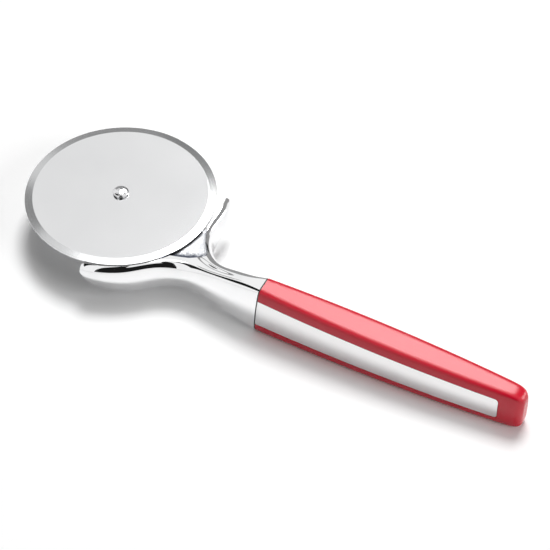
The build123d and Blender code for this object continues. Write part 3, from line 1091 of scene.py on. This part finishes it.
@dataclass
class Head:
    """The chrome-plated casting: neck, two guard wings, arm, boss and tang."""

    wheel_gap_radius: float = 41.4
    edge_break: float = 0.28
    edge_break_start: float = 0.08
    edge_overrun: float = 0.1
    top: float = 20.4
    far_flare: float = 2.9
    far_flare_start: float = 2.0
    far_flare_end: float = 25.0
    far_flare_limit: float = 60.0
    far_flare_most: float = 1.4
    far_flare_power: float = 1.4
    pocket_floor: float = 18.2
    pocket_round: float = 1.6
    pocket_fillet: float = 1.2
    pocket_fillet_steps: int = 4
    ledge_radius: float = 38.3
    ledge_start: float = -37.0
    ledge_end: float = -1.0
    ledge_ease: float = 3.0
    ledge_lip: Point = (0.02, 0.01)
    cutter_height: float = 12.0
    cutter_overrun: float = 2.0
    room_height: float = 8.0
    room_steps: int = 360
    arm_underside: float = 9.28
    arm_top: float = 16.276
    arm_overlap: float = 1.4
    arm_middle_angle: float = -18.6
    arm_near_angle: float = -34.0
    arm_far_angle: float = -2.0
    arm_long_edge: float = 25.0
    arm_round: float = 0.8
    arm_round_steps: int = 5
    boss_radius: float = 7.5
    boss_top: float = 17.28
    boss_chamfer: float = 0.3
    boss_round: float = 0.6
    boss_bend: float = 0.18
    boss_steps: int = 96
    boss_bore: float = 5.1
    boss_bore_start: float = -1.0
    axle_bore: float = 1.53
    axle_bore_start: float = 5.0
    bore_steps: int = 72
    tang_start: float = 74.0
    tang_end: float = 160.9
    tang_thickness: float = 4.0
    tang_height: float = 12.0
    tang_middle: float = 11.0
    tang_round: float = 1.5
    screw_places: tuple[float, ...] = (92.94, 120.45, 147.95)
    screw_bore: float = 1.6
    screw_hole_length: float = 12.0
    screw_steps: int = 32
    levels: int = 3
    # Each side from the joint to its wing's tip: x, y, top, underside
    near_side: tuple[Row, ...] = (
        (76.9, -28.03, 24.8, 0.0), (73.0, -27.85, 24.55, 0.25), (68.0, -27.45, 23.95, 1.2),
        (62.5, -26.95, 23.15, 2.7), (56.5, -26.3, 22.2, 4.3), (50.5, -25.75, 21.3, 5.3),
        (46.0, -25.65, 20.75, 5.2), (41.5, -26.1, 20.45, 4.9), (36.0, -27.9, 20.4, 4.6),
        (31.0, -31.2, 20.4, 4.4), (25.3, -36.35, 20.4, 4.5), (20.0, -39.55, 20.4, 5.0),
        (14.5, -41.9, 20.4, 5.9), (9.4, -43.3, 20.4, 7.4), (6.4, -43.7, 20.2, 9.2),
        (4.9, -43.3, 19.2, 11.4), (4.3, -42.5, 17.4, 13.6),
    )
    far_side: tuple[Row, ...] = (
        (76.9, -16.57, 24.8, 0.0), (73.0, -16.55, 24.55, 0.25), (68.5, -16.5, 24.0, 1.2),
        (64.0, -16.55, 23.4, 2.5), (60.0, -16.75, 22.75, 3.7), (56.3, -16.2, 22.1, 4.7),
        (52.5, -13.9, 21.4, 5.3), (49.0, -10.4, 20.8, 5.5), (46.3, -6.6, 20.5, 5.5),
        (44.8, -2.6, 20.4, 5.5), (44.25, 1.6, 20.4, 5.7), (44.4, 5.8, 20.4, 6.4),
        (44.4, 9.8, 20.4, 7.2), (43.9, 13.5, 20.4, 8.2), (43.1, 16.2, 20.4, 9.6),
        (42.2, 18.3, 20.4, 11.4), (41.9, 18.8, 20.3, 12.0),
    )
    # Middle of each of these sections in plan
    middle_line: tuple[Point, ...] = (
        (76.9, -22.3), (73.0, -22.4), (68.2, -22.5), (63.2, -22.4), (58.2, -21.9), (53.0, -20.7),
        (48.0, -18.4), (43.0, -16.4), (37.0, -14.4), (31.0, -12.2), (25.0, -10.0), (19.0, -7.8),
        (13.5, -5.6), (8.5, -3.6), (4.0, -1.8), (0.0, 0.0), (-3.6, 1.6),
    )
    # Cross profiles from the joint on; the last of each stays to the wing's tip
    near_profiles: tuple[Profile, ...] = (
        BARREL,
        BARREL.mixed(NEAR_NECK, 0.7),
        NEAR_NECK,
        *(NEAR_NECK.mixed(WING, share) for share in (0.20, 0.45, 0.72, 0.90)),
        WING,
    )
    far_profiles: tuple[Profile, ...] = (
        BARREL,
        BARREL.mixed(FAR_NECK, 0.7),
        FAR_NECK, FAR_NECK, FAR_NECK, FAR_NECK,
        FAR_NECK.mixed(FAR_EDGE, 0.35),
        FAR_NECK.mixed(FAR_EDGE, 0.70),
        FAR_EDGE,
    )
    pocket_corners: tuple[Point, ...] = (
        (33.0, -22.6), (37.5, -21.5), (43.0, -19.9), (49.6, -16.4), (47.2, -12.2),
        (44.6, -8.2), (42.6, -3.6), (41.4, -0.6), (34.0, -6.0),
    )
    # Ends of the pocket's near edge among these corners, the second of which is rounded
    pocket_near_edge: tuple[int, int] = (1, 3)

    def build(self) -> Object:
        """Builds the head.

        Returns:
            The casting as one closed mesh.
        """
        finishes = self._finishes()
        piece = self._outer_form()
        give_materials(piece, finishes)
        for cutter in (self._wheel_room(), self._pocket()):
            give_materials(cutter, finishes)
            combine(piece, cutter)
        combine(piece, self._arm(), Joining.ADD)
        combine(piece, self._boss(), Joining.ADD)
        combine(piece, self._bore(self.boss_bore, self.boss_bore_start, self.arm_underside))
        combine(piece, self._bore(self.axle_bore, self.axle_bore_start, self.top))
        combine(piece, self._tang(), Joining.ADD)
        size = (self.screw_bore, self.screw_hole_length, self.screw_steps)
        for x in self.screw_places:
            combine(piece, cross_pin("screw_hole", x, self.tang_middle, *size))
        finish_mesh(piece, finishes)
        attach(piece, "frame")
        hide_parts("head_casting")
        return piece

    def _finishes(self) -> list[Material]:
        """Plating outside, and the pocket's, with painted shade along its near edge.

        Returns:
            The two materials, in slot order.
        """
        # Where the painted shade in the pocket lies: a point on the near edge and the direction away from
        # it
        start, end = (Vector(self.pocket_corners[place]) for place in self.pocket_near_edge)
        corner = Vector((*end, self.pocket_floor)) * MM
        along = (end - start).normalized()
        return [ChromePlate().build(), CastPocket(tuple(corner), (-along.y, along.x, 0.0)).build()]

    def _outer_form(self) -> Object:
        """Lofts the neck and both wings as one form that fans out towards the wheel.

        Returns:
            The form.
        """
        sections = []
        rows = (self.near_profiles, self.far_profiles)
        for place, (near, far, middle) in enumerate(zip(self.near_side, self.far_side, self.middle_line)):
            profiles = tuple(row[min(place, len(row) - 1)] for row in rows)
            lean = JOINT_LEAN if place == 0 else 0.0
            sections.append(section(Vector(middle), (Side(*near), Side(*far)), profiles, lean))
        piece = new_piece("head", loft(sections, round_end=True))
        subdivide(piece, self.levels)
        return piece

    def _wheel_room(self) -> Object:
        """Cutter for the room round the wheel, flared along the far wing, with a ledge at the pocket.

        Returns:
            The cutter.
        """
        ledge, gap = self.pocket_floor, self.wheel_gap_radius
        across, up = self.ledge_lip
        broken = gap + self.edge_break + self.edge_overrun
        ceiling = self.top + self.room_height
        profile = (
            (0.0, -self.cutter_overrun),
            (gap - across, -self.cutter_overrun),
            (gap - across, ledge),
            (gap, ledge + up),
            (gap, self.top - self.edge_break),
            (gap + self.edge_break_start, self.top - self.edge_break_start),
            (broken, self.top + self.edge_overrun),
            (broken, ceiling),
            (0.0, ceiling),
        )
        shape = spun(profile, self.room_steps)
        for vertex in shape.verts:
            turn = math.degrees(math.atan2(vertex.co.y, vertex.co.x))
            radius = vertex.co.xy.length
            if radius < WELD:
                continue
            if self.far_flare_start < turn < self.far_flare_limit:
                share = (turn - self.far_flare_start) / (self.far_flare_end - self.far_flare_start)
                grown = self.far_flare * min(share, self.far_flare_most) ** self.far_flare_power
                vertex.co.xy *= (radius + grown) / radius
            elif vertex.co.z < ledge + WELD:
                rise = smooth_step((turn - self.ledge_start) / self.ledge_ease)
                fall = smooth_step((self.ledge_end - turn) / self.ledge_ease)
                vertex.co.xy *= lerp(radius, self.ledge_radius, rise * fall) / radius
        for face in shape.faces:
            if abs(face.calc_center_median().z - ledge) < across:
                face.material_index = 1
        return new_piece("wheel_room", shape)

    def _pocket(self) -> Object:
        """Cutter for the pocket between the wheel and the fork of the neck.

        Returns:
            The cutter.
        """
        corners = [(x, y, self.pocket_floor) for x, y in self.pocket_corners]
        sheet = outline_sheet(corners, self.pocket_near_edge[1:], self.pocket_round)
        shape = raise_faces(sheet, (0, 0, self.cutter_height))
        floor = self.pocket_floor + WELD
        rim = [edge for edge in shape.edges if all(vertex.co.z < floor for vertex in edge.verts)]
        bevel(shape, rim, self.pocket_fillet, self.pocket_fillet_steps)
        for face in shape.faces:
            face.material_index = 1
        return new_piece("pocket", shape)

    def _arm(self) -> Object:
        """The plate that carries the axle under the wheel.

        Returns:
            The plate.
        """
        reach = self.wheel_gap_radius + self.arm_overlap
        middle = math.radians(self.arm_middle_angle)
        ends = (
            (self.boss_radius, middle - math.pi / 2),
            (reach, math.radians(self.arm_near_angle)),
            (reach, math.radians(self.arm_far_angle)),
            (self.boss_radius, middle + math.pi / 2),
        )
        corners = [polar(radius, turn, self.arm_underside) for radius, turn in ends]
        shape = raise_faces(outline_sheet(corners), (0, 0, self.arm_top - self.arm_underside))
        long_edges = [
            edge
            for edge in shape.edges
            if is_level(edge) and (edge.verts[0].co.xy - edge.verts[1].co.xy).length > self.arm_long_edge
        ]
        bevel(shape, long_edges, self.arm_round, self.arm_round_steps)
        return new_piece("arm", shape)

    def _boss(self) -> Object:
        """The round boss under the wheel's centre.

        Returns:
            The boss.
        """
        radius, bend, high = self.boss_radius, self.boss_bend, self.boss_chamfer
        profile = (
            (0.0, 0.0),
            (radius - self.boss_round, 0.0),
            (radius - bend, bend),
            (radius, self.boss_round),
            (radius, self.boss_top - high),
            (radius - high, self.boss_top),
            (0.0, self.boss_top),
        )
        return new_piece("boss", spun(profile, self.boss_steps))

    def _bore(self, radius: float, start: float, end: float) -> Object:
        """Cutter for a round hole on the axle, from one height to another."""
        profile = ((0.0, start), (radius, start), (radius, end), (0.0, end))
        return new_piece("bore", spun(profile, self.bore_steps))

    def _tang(self) -> Object:
        """The flat tang that runs into the grip.

        Returns:
            The tang.
        """
        wide, tall = self.tang_thickness / 2, self.tang_height / 2
        corners = [
            (self.tang_start, GRIP_Y + across * wide, self.tang_middle + up * tall)
            for across, up in ((-1, -1), (1, -1), (1, 1), (-1, 1))
        ]
        sheet = outline_sheet(corners, range(len(corners)), self.tang_round)
        return new_piece("tang", raise_faces(sheet, (self.tang_end - self.tang_start, 0, 0)))


# Grip


class GripSide(Enum):
    """A side of the grip, and its direction along Y."""

    NEAR = -1
    FAR = 1


@dataclass
class Grip:
    """Two red shells round the tang, and a steel plate let into each side."""

    head: Head
    length: float = 114.6
    seal: float = 0.5
    front_height: float = 24.8
    butt_height: float = 18.3
    front_half_width: float = 4.97
    belly_half_width: float = 6.45
    butt_half_width: float = 4.05
    bulge: float = 0.76
    wall: float = 2.2
    plate_end: float = 181.8
    plate_share: float = 0.57
    plate_round: float = 1.6
    plate_round_steps: int = 8
    plate_thickness: float = 0.8
    plate_clearance: float = 0.2
    plate_edge: float = 0.12
    # The broken edge turns by more than this angle, lies this far from the middle and faces outwards
    plate_edge_angle: float = 60.0
    plate_edge_reach: float = 4.0
    plate_edge_outwards: float = 0.8
    plate_overrun: float = 4.0
    skin_start: float = 0.4
    recess_depth: float = 1.0
    cutter_overrun: float = 2.0
    tang_clearance: float = 0.1
    tang_overrun: float = 3.0
    boss_radius: float = 3.5
    boss_length: float = 30.0
    boss_steps: int = 40
    # The rays that find the skin start this far from the grip's middle
    ray_distance: float = 40.0
    levels: int = 3
    # Where the plate is cut across and along, to follow the skin: start, pitch, number
    plate_columns: tuple[float, float, int] = (1.4, 2.4, 43)
    plate_rows: tuple[float, float, int] = (2.0, 1.2, 15)
    # Share of the length at which each control section stands
    body_shares: tuple[float, ...] = (0.0, 0.04, 0.13, 0.26, 0.40, 0.54, 0.68, 0.80, 0.88, 0.935)
    # Last sections of the rounded butt: distance from the end, drawn in at the sides, top and foot
    butt_rows: tuple[Row, ...] = (
        (4.4, 0.05, 0.10, 0.0), (1.7, 0.45, 0.75, 0.15), (0.25, 1.7, 2.5, 1.3), (0.0, 2.6, 4.4, 3.0)
    )

    def build(self) -> list[Object]:
        """Builds the shells and plates.

        Returns:
            The four pieces.
        """
        form = self._form("grip_form", 0.0)
        skin = BVHTree.FromObject(form, bpy.context.evaluated_depsgraph_get())
        red = MouldedRed().build()
        steel = BrushedPlate().build()
        recess = (self.plate_clearance, self.cutter_overrun, self.recess_depth)
        combine(form, self._hollow())
        combine(form, self._tang_slot())
        pieces = []
        for side in GripSide:
            name = side.name.lower()
            shell = self._half(form, side)
            combine(shell, new_piece("recess", self._plate_form(skin, side, *recess)))
            finish_mesh(shell, [red])
            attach(shell, "frame")
            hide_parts(f"grip_shell_{name}")
            plate = new_piece(f"side_plate_{name}", self._plate(skin, side))
            finish_mesh(plate, [steel])
            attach(plate, "frame")
            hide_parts(f"insert_{name}")
            pieces += [shell, plate]
        discard(form)
        return pieces

    def _half_width(self, x: float) -> float:
        """Half width at the widest line, on a curve through the front, the belly and the butt.

        Args:
            x: Distance along the grip.

        Returns:
            The half width.
        """
        share = (x - JOINT_X) / self.length
        front = self.front_half_width * (1 - share) * (1 - 2 * share)
        belly = self.belly_half_width * 4 * share * (1 - share)
        butt = self.butt_half_width * share * (2 * share - 1)
        return front + belly + butt + self.bulge

    def _height(self, x: float) -> float:
        """Height of the grip, which falls evenly towards the butt."""
        return lerp(self.front_height, self.butt_height, (x - JOINT_X) / self.length)

    def _section(
        self, x: float, inset: float, lean: float, drawn: Sequence[float] = (0, 0, 0)
    ) -> list[Vector]:
        """Control points of one section of the grip.

        Args:
            x: Distance along the grip.
            inset: How far the whole section is drawn in.
            lean: Distance along X per millimetre of height.
            drawn: Further distances drawn in at the sides, top and foot.

        Returns:
            The ring of points.
        """
        wide = self._half_width(x) - inset - drawn[0]
        top = self._height(x) - inset - drawn[1]
        foot = inset + drawn[2]
        sides = tuple(Side(x, GRIP_Y + side.value * wide, top, foot) for side in GripSide)
        return section(Vector((x, GRIP_Y)), sides, (BARREL, BARREL), lean)

    def _form(self, name: str, inset: float) -> Object:
        """Lofts the grip's outer form, or the form of its hollow.

        Args:
            name: Name of the object.
            inset: How far the form is drawn in on all sides.

        Returns:
            The closed form.
        """
        start = JOINT_X + self.seal + inset
        end = JOINT_X + self.length - inset
        sections = []
        for place, share in enumerate(self.body_shares):
            lean = JOINT_LEAN * max(0.0, 1 - place / 2)
            sections.append(self._section(start + (end - start) * share, inset, lean))
        for away, *drawn in self.butt_rows:
            sections.append(self._section(end - away, inset, 0.0, drawn))
        piece = new_piece(name, loft(sections))
        subdivide(piece, self.levels)
        return piece

    def _hollow(self) -> Object:
        """Cutter for the hollow, which leaves a boss round each screw.

        Returns:
            The cutter.
        """
        hollow = self._form("grip_hollow", self.wall)
        size = (self.boss_radius, self.boss_length, self.boss_steps)
        for x in self.head.screw_places:
            combine(hollow, cross_pin("screw_boss", x, self.head.tang_middle, *size))
        return hollow

    def _tang_slot(self) -> Object:
        """Cutter for the slot that the tang fills.

        Returns:
            The cutter.
        """
        head, slack = self.head, 2 * self.tang_clearance
        start = JOINT_X - self.tang_overrun
        end = head.tang_end + self.tang_clearance
        size = (end - start, head.tang_thickness + slack, head.tang_height + slack)
        shape = bmesh.new()
        bmesh.ops.create_cube(shape, size=1.0)
        bmesh.ops.scale(shape, vec=size, verts=shape.verts)
        bmesh.ops.translate(shape, vec=((start + end) / 2, GRIP_Y, head.tang_middle), verts=shape.verts)
        return new_piece("tang_slot", shape)

    def _half(self, form: Object, side: GripSide) -> Object:
        """Parts one shell from the whole form.

        Args:
            form: The hollow grip.
            side: Which side it is.

        Returns:
            The shell.
        """
        shape = bmesh.new()
        shape.from_mesh(form.data)
        cut = self._slice(shape, (0.0, GRIP_Y, 0.0), (0.0, -side.value, 0.0), clear=True)
        rim = [part for part in cut if isinstance(part, bmesh.types.BMEdge)]
        bmesh.ops.triangle_fill(shape, use_beauty=True, use_dissolve=False, edges=rim)
        bmesh.ops.recalc_face_normals(shape, faces=shape.faces)
        return new_piece(f"shell_{side.name.lower()}", shape)

    @staticmethod
    def _slice(shape: Shape, point: Place, normal: Place, clear: bool = False) -> list[Any]:
        """Cuts all faces along a plane.

        Args:
            shape: The bmesh to cut.
            point: A point on the plane.
            normal: The plane's direction.
            clear: Whether to drop what lies on the side that the normal points to.

        Returns:
            The vertices and edges on the cut.
        """
        everything = [*shape.verts, *shape.edges, *shape.faces]
        return bmesh.ops.bisect_plane(
            shape, geom=everything, dist=WELD, plane_co=point, plane_no=normal, clear_outer=clear
        )["geom_cut"]

    def _plate_outline(self, clearance: float) -> Shape:
        """Flat outline of a side plate, with its butt corners rounded, cut into rows.

        Args:
            clearance: How much larger the outline is than the plate.

        Returns:
            The outline as faces in the upright plane through the grip.
        """
        front, end = JOINT_X - self.plate_overrun, self.plate_end + clearance
        corners = []
        for x, sign in ((front, -1), (end, -1), (end, 1), (front, 1)):
            tall = self._height(x)
            corners.append((x, 0.0, tall / 2 + sign * (self.plate_share * tall / 2 + clearance)))
        shape = outline_sheet(corners, (1, 2), self.plate_round + clearance, self.plate_round_steps)
        if not clearance:
            lean = math.radians(JOINT_ANGLE)
            joint = (JOINT_X + self.seal, 0.0, JOINT_MIDDLE)
            self._slice(shape, joint, (-math.cos(lean), 0.0, math.sin(lean)), clear=True)
        start, pitch, number = self.plate_columns
        for step in range(1, number + 1):
            self._slice(shape, (JOINT_X + start + pitch * step, 0, 0), (1, 0, 0))
        start, pitch, number = self.plate_rows
        for step in range(1, number + 1):
            self._slice(shape, (0, 0, start + pitch * step), (0, 0, 1))
        return shape

    def _plate_form(
        self, skin: BVHTree, side: GripSide, clearance: float, above: float, below: float
    ) -> Shape:
        """A plate that follows the grip's skin.

        Args:
            skin: The grip's outer form.
            side: Which side it is on.
            clearance: How much larger the outline is than the plate.
            above: How far the plate stands out of the skin.
            below: How far it goes into the skin.

        Returns:
            The closed plate.
        """
        sign = side.value
        shape = self._plate_outline(clearance)
        for vertex in shape.verts:
            first = JOINT_X + self.seal + JOINT_LEAN * (vertex.co.z - JOINT_MIDDLE) + self.skin_start
            start = Vector((max(vertex.co.x, first), GRIP_Y + self.ray_distance * sign, vertex.co.z))
            hit = skin.ray_cast(start, Vector((0, -sign, 0)))[0]
            vertex.co.y = hit.y + sign * above
        return raise_faces(shape, (0, -sign * (above + below), 0))

    def _plate(self, skin: BVHTree, side: GripSide) -> Shape:
        """One side plate with its outer edge broken.

        Args:
            skin: The grip's outer form.
            side: Which side it is on.

        Returns:
            The plate.
        """
        shape = self._plate_form(skin, side, 0.0, 0.0, self.plate_thickness)
        sharp = math.radians(self.plate_edge_angle)
        edges = [
            edge
            for edge in shape.edges
            if len(edge.link_faces) == 2
            and edge.calc_face_angle(0.0) > sharp
            and all(abs(vertex.co.y - GRIP_Y) > self.plate_edge_reach for vertex in edge.verts)
            and any(face.normal.y * side.value > self.plate_edge_outwards for face in edge.link_faces)
        ]
        bevel(shape, edges, self.plate_edge)
        return shape


# Studio


@dataclass(frozen=True)
class Lamp:
    """A soft lamp aimed at the object.

    Attributes:
        name: Name of the lamp.
        azimuth: Its direction, from X towards Y.
        elevation: Its angle above the floor.
        size: Width and depth of its face in metres.
        brightness: How bright its face looks, where 1 is plain white.
        lights: Whether it lights matt surfaces.
        mirrored: Whether it is seen in the metal.
    """

    name: str
    azimuth: float
    elevation: float
    size: Point
    brightness: float
    lights: bool = True
    mirrored: bool = True


@dataclass(frozen=True)
class Card:
    """A curved card round the object, seen in mirrors only.

    Attributes:
        name: Name of the card.
        azimuth: Its middle direction, from X towards Y.
        low: Elevation of its lower edge.
        high: Elevation of its upper edge.
        spread: Half the angle that it spans.
        distance: Its distance from the object in metres.
        tone: How light it is, where 1 is plain white.
    """

    name: str
    azimuth: float
    low: float
    high: float
    spread: float
    distance: float
    tone: float


@dataclass
class Studio:
    """Floor, lamps, cards and camera."""

    camera_place: Place = (0.3307, -0.5124, 0.6388)
    camera_target: Place = (0.0780, -0.0121, 0.0200)
    lens: float = 136.1
    sensor: float = 36.0
    nearest_seen: float = 0.01
    farthest_seen: float = 50.0
    floor_radius: float = 6.0
    floor_steps: int = 96
    fill: float = 0.12
    lamp_distance: float = 2.6
    card_rows: int = 6
    card_columns: int = 24
    lamps: tuple[Lamp, ...] = (
        Lamp("soft_top", 122.0, 76.0, (1.2, 1.2), 2.4),
        Lamp("strip_back", 97.0, 54.0, (1.14, 0.70), 9.8, lights=False),
        Lamp("soft_key", 104.0, 64.0, (0.95, 0.95), 16.4, mirrored=False),
        Lamp("soft_front", -6.0, 30.0, (1.3, 1.3), 4.1, mirrored=False),
    )
    # The dark cards draw the bands in the chrome, and the bright one lights the edge of the butt
    cards: tuple[Card, ...] = (
        Card("card_camera_side", -64.0, 6.0, 56.0, 24.5, 1.6, 0.012),
        Card("card_over_neck", -156.0, 37.0, 86.0, 29.0, 1.7, 0.012),
        Card("card_over_wing", -77.0, 50.0, 84.0, 13.0, 1.7, 0.012),
        Card("card_back_right", 89.0, -1.0, 40.0, 28.0, 3.4, 0.32),
        Card("card_far_edge", 63.5, 18.0, 54.0, 25.5, 3.2, 0.32),
        Card("card_fork", 89.0, 8.0, 33.0, 7.0, 3.1, 0.03),
        Card("card_back_left", 130.0, -1.0, 29.0, 14.0, 3.4, 0.36),
        Card("card_left", 147.0, 34.0, 50.0, 5.0, 3.4, 0.30),
        Card("card_bright_right", 38.0, 1.0, 30.0, 10.0, 3.3, 6.0),
    )

    def build(self) -> None:
        """Builds the studio round the object."""
        self._floor()
        self._world()
        for lamp in self.lamps:
            self._lamp(lamp)
        for card in self.cards:
            self._card(card)
        self._camera()

    def _floor(self) -> None:
        """Lays the floor."""
        shape = bmesh.new()
        bmesh.ops.create_circle(shape, cap_ends=True, segments=self.floor_steps, radius=self.floor_radius)
        floor = new_piece("studio_floor", shape)
        give_materials(floor, [StudioFloor().build()])

    def _world(self) -> None:
        """Lights the room: a soft fill, and plain white where the eye or a mirror looks."""
        world = bpy.data.worlds.new("studio")
        bpy.context.scene.world = world
        s = Shader(world)
        strength = self.fill + s.looked_at() * (1 - self.fill)
        background = s.node("ShaderNodeBackground", sockets={"Color": WHITE, "Strength": strength})
        s.close(background, "ShaderNodeOutputWorld")

    def _aim(self, thing: Object, place: Vector) -> None:
        """Adds a lamp or camera at a place, turned to the middle of the view.

        Args:
            thing: The lamp or camera.
            place: Where it stands.
        """
        bpy.context.scene.collection.objects.link(thing)
        thing.location = place
        line = Vector(self.camera_target) - thing.location
        thing.rotation_euler = line.to_track_quat("-Z", "Y").to_euler()

    def _lamp(self, lamp: Lamp) -> None:
        """Hangs one lamp.

        Args:
            lamp: The lamp.
        """
        light = bpy.data.lights.new(lamp.name, "AREA")
        light.shape = "RECTANGLE"
        light.size, light.size_y = lamp.size
        light.energy = lamp.brightness * math.pi * lamp.size[0] * lamp.size[1]
        hung = bpy.data.objects.new(lamp.name, light)
        turn, rise = math.radians(lamp.azimuth), math.radians(lamp.elevation)
        away = polar(self.lamp_distance * math.cos(rise), turn, self.lamp_distance * math.sin(rise))
        self._aim(hung, Vector(self.camera_target) + away)
        hung.visible_diffuse = lamp.lights
        hung.visible_glossy = lamp.mirrored

    def _card(self, plan: Card) -> None:
        """Stands one card.

        Args:
            plan: Where it stands and how light it is.
        """
        shape = bmesh.new()
        start = math.radians(plan.azimuth - plan.spread)
        points = []
        for step in range(self.card_rows + 1):
            rise = math.radians(lerp(plan.low, plan.high, step / self.card_rows))
            point = polar(plan.distance * math.cos(rise), start, plan.distance * math.sin(rise))
            points.append(shape.verts.new(point))
        edges = [shape.edges.new(pair) for pair in zip(points, points[1:])]
        spin(shape, points + edges, math.radians(2 * plan.spread), self.card_columns)
        bmesh.ops.translate(shape, vec=(*self.camera_target[:2], 0), verts=shape.verts)
        card = new_piece(plan.name, shape)
        s = Shader.named(plan.name)
        give_materials(card, [s.close(s.glow(plan.tone))])
        card.visible_camera = False
        card.visible_diffuse = False
        card.visible_shadow = False

    def _camera(self) -> None:
        """Sets the camera at the photograph's view."""
        data = bpy.data.cameras.new("camera")
        data.lens = self.lens
        data.sensor_width = self.sensor
        data.clip_start = self.nearest_seen
        data.clip_end = self.farthest_seen
        camera = bpy.data.objects.new("camera", data)
        self._aim(camera, Vector(self.camera_place))
        bpy.context.scene.camera = camera


# Carried-over pieces


def dress_nodes(nodes: dict[str, Object]) -> None:
    """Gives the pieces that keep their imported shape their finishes.

    Args:
        nodes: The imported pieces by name.
    """
    zinc = SmallMetal(MetalKind.ZINC).build()
    film = BondingFilm().build()
    finishes = {
        "wheel_bushing": SmallMetal(MetalKind.BRONZE).build(),
        "axle_spacer": zinc,
        "upper_washer": zinc,
        "lower_washer": zinc,
        "axle_burr": zinc,
        "grip_screws": zinc,
        "axle_cap": GreyCap().build(),
        "joint_seal": DarkSeal().build(),
        "insert_near_tape": film,
        "insert_far_tape": film,
    }
    for name, material in finishes.items():
        for material_slot in nodes[name].material_slots:
            material_slot.material = material
        LOG.info("%s: dressed", name)


def main() -> None:
    """Builds the scene in order."""
    logging.basicConfig(level=logging.INFO, format="%(name)s: %(message)s")
    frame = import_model()
    bpy.context.scene.view_settings.view_transform = "Standard"
    dress_nodes(frame["nodes"])
    CuttingWheel().build()
    AxleRivet().build()
    head = Head()
    head.build()
    Grip(head).build()
    Studio().build()


if __name__ == "__main__":
    main()
